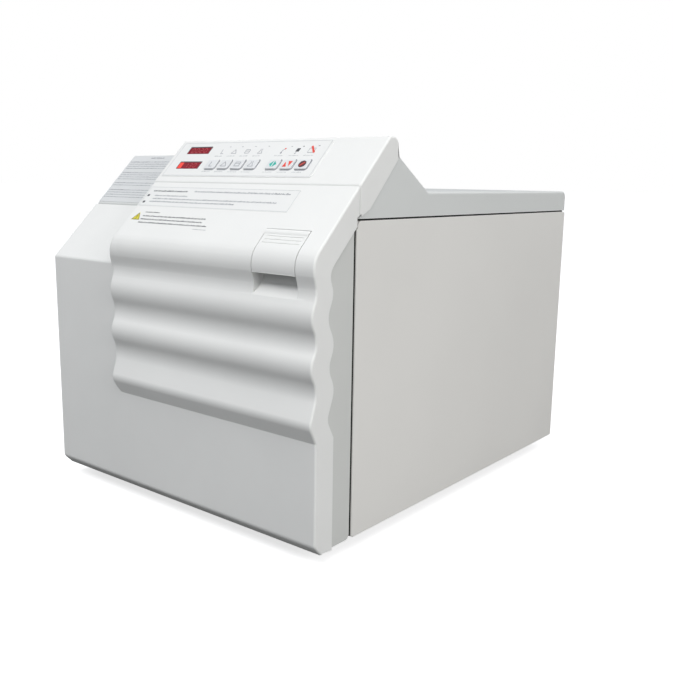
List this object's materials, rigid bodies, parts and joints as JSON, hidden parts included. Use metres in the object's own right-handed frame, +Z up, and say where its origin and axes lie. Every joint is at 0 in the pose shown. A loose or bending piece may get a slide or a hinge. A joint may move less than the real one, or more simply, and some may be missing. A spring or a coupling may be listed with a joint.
{
  "type": "benchtop autoclave",
  "caption": "Benchtop steam autoclave with a drop-down front door, wavy raised front, sloping control panel with keys and red displays, round chamber, rack and trays.",
  "frame": {"origin": "bottom centre of the bounding box, in the plane of the feet", "axes": "+Z up, the door faces -Y, +X to the right seen from the front"},
  "size_m": [0.45, 0.5749, 0.4465],
  "materials": {
    "cover_plastic": "moulded off-white plastic, fine texture",
    "hood_paint": "light grey powder paint",
    "frame_plastic": "light grey moulded plastic",
    "panel_paint": "warm grey powder paint",
    "label_print": "printed polyester",
    "stainless": "brushed stainless",
    "zinc_steel": "zinc-plated sheet",
    "bright_steel": "bright steel",
    "foot_rubber": "black rubber",
    "silicone": "pale silicone",
    "insulation": "glass-fibre blanket",
    "element_sheath": "heat-darkened sheath",
    "tank_plastic": "natural polyethylene",
    "clear_tube": "clear flexible tube",
    "cap_plastic": "light grey plastic",
    "copper": "copper tube",
    "brass": "turned brass",
    "transformer_iron": "varnished laminations",
    "circuit_board": "green solder mask",
    "black_plastic": "black plastic",
    "display_lens": "red filter",
    "key_plastic": "light key caps"
  },
  "bodies": {
    "cabinet": {"control_housing": "cover_plastic", "top_cover": "hood_paint", "side_panel_left": "panel_paint", "side_panel_right": "panel_paint", "rear_panel": "panel_paint", "information_plate": "label_print", "keypad_overlay": "label_print", "chamber_vessel": "stainless", "chamber_flange": "stainless", "tray_1": "stainless", "tray_2": "stainless", "tray_3": "stainless", "tray_4": "stainless", "tray_rack": "stainless", "front_bulkhead": "stainless", "base_pan": "zinc_steel", "hinge_arms": "zinc_steel", "chamber_saddles": "zinc_steel", "latch_striker": "zinc_steel", "case_screws": "bright_steel", "rubber_feet": "foot_rubber", "chamber_insulation": "insulation", "heating_element": "element_sheath", "water_reservoir": "tank_plastic", "drain_tube": "clear_tube", "copper_lines": "copper", "fill_valve": "brass", "vent_valve": "brass", "air_bellows": "brass", "relief_valve": "brass", "transformer": "transformer_iron", "control_board": "circuit_board", "display_board": "circuit_board", "power_inlet": "black_plastic", "circuit_breakers": "black_plastic", "fan_frame": "black_plastic", "upper_display_window": "display_lens", "lower_display_window": "display_lens"},
    "door": {"door_cover": "cover_plastic", "door_frame": "frame_plastic", "door_plate": "stainless", "door_gasket": "silicone", "door_yoke": "zinc_steel", "door_pins": "bright_steel", "latch_pocket": "cover_plastic"},
    "latch_handle": {"latch_handle": "cover_plastic"},
    "latch_hook": {"latch_hook": "bright_steel"},
    "fan_rotor": {"fan_rotor": "black_plastic"},
    "reservoir_cap": {"reservoir_cap": "cap_plastic"},
    "relief_ring": {"relief_ring": "bright_steel"},
    "breaker_button_1": {"breaker_button_1": "black_plastic"},
    "breaker_button_2": {"breaker_button_2": "black_plastic"},
    "program_key_1": {"program_key_1": "key_plastic"},
    "program_key_2": {"program_key_2": "key_plastic"},
    "program_key_3": {"program_key_3": "key_plastic"},
    "program_key_4": {"program_key_4": "key_plastic"},
    "start_key": {"start_key": "key_plastic"},
    "dry_key": {"dry_key": "key_plastic"},
    "stop_key": {"stop_key": "key_plastic"}
  },
  "joints": [
    {"name": "door_hinge", "type": "hinge", "parent": "cabinet", "child": "door", "pos_m": [0, -0.2576, 0.033], "axis": [1, 0, 0], "range_deg": [0, 90]},
    {"name": "latch_handle_pull", "type": "hinge", "parent": "door", "child": "latch_handle", "pos_m": [0.172, -0.2581, 0.344], "axis": [-1, 0, 0], "range_deg": [0, 25], "stiffness_Nm_per_rad": 0.3, "springref_deg": -8.59},
    {"name": "latch_hook_lift", "type": "hinge", "parent": "door", "child": "latch_hook", "pos_m": [0.172, -0.2296, 0.341], "axis": [1, 0, 0], "range_deg": [0, 25]},
    {"name": "fan_spin", "type": "hinge", "parent": "cabinet", "child": "fan_rotor", "pos_m": [-0.165, 0.2624, 0.094], "axis": [0, 1, 0], "continuous": true},
    {"name": "reservoir_cap_turn", "type": "hinge", "parent": "cabinet", "child": "reservoir_cap", "pos_m": [-0.162, 0.1824, 0.376], "axis": [0, 0, 1], "range_deg": [0, 90]},
    {"name": "relief_ring_pull", "type": "slide", "parent": "cabinet", "child": "relief_ring", "axis": [0, 1, 0], "range_m": [0, 0.004], "stiffness_N_per_m": 1500, "springref_m": -0.001},
    {"name": "breaker_button_1_press", "type": "slide", "parent": "cabinet", "child": "breaker_button_1", "axis": [0, -1, 0], "range_m": [0, 0.0025], "stiffness_N_per_m": 800, "springref_m": -0.0005},
    {"name": "breaker_button_2_press", "type": "slide", "parent": "cabinet", "child": "breaker_button_2", "axis": [0, -1, 0], "range_m": [0, 0.0025], "stiffness_N_per_m": 800, "springref_m": -0.0005},
    {"name": "program_key_1_press", "type": "slide", "parent": "cabinet", "child": "program_key_1", "axis": [0, 0.7071, -0.7071], "range_m": [0, 0.0008], "stiffness_N_per_m": 900, "springref_m": -0.0003},
    {"name": "program_key_2_press", "type": "slide", "parent": "cabinet", "child": "program_key_2", "axis": [0, 0.7071, -0.7071], "range_m": [0, 0.0008], "stiffness_N_per_m": 900, "springref_m": -0.0003},
    {"name": "program_key_3_press", "type": "slide", "parent": "cabinet", "child": "program_key_3", "axis": [0, 0.7071, -0.7071], "range_m": [0, 0.0008], "stiffness_N_per_m": 900, "springref_m": -0.0003},
    {"name": "program_key_4_press", "type": "slide", "parent": "cabinet", "child": "program_key_4", "axis": [0, 0.7071, -0.7071], "range_m": [0, 0.0008], "stiffness_N_per_m": 900, "springref_m": -0.0003},
    {"name": "start_key_press", "type": "slide", "parent": "cabinet", "child": "start_key", "axis": [0, 0.7071, -0.7071], "range_m": [0, 0.0008], "stiffness_N_per_m": 900, "springref_m": -0.0003},
    {"name": "dry_key_press", "type": "slide", "parent": "cabinet", "child": "dry_key", "axis": [0, 0.7071, -0.7071], "range_m": [0, 0.0008], "stiffness_N_per_m": 900, "springref_m": -0.0003},
    {"name": "stop_key_press", "type": "slide", "parent": "cabinet", "child": "stop_key", "axis": [0, 0.7071, -0.7071], "range_m": [0, 0.0008], "stiffness_N_per_m": 900, "springref_m": -0.0003}
  ],
  "couplings": [
    {"joint": "latch_hook_lift", "follows": "latch_handle_pull", "ratio": 1}
  ]
}
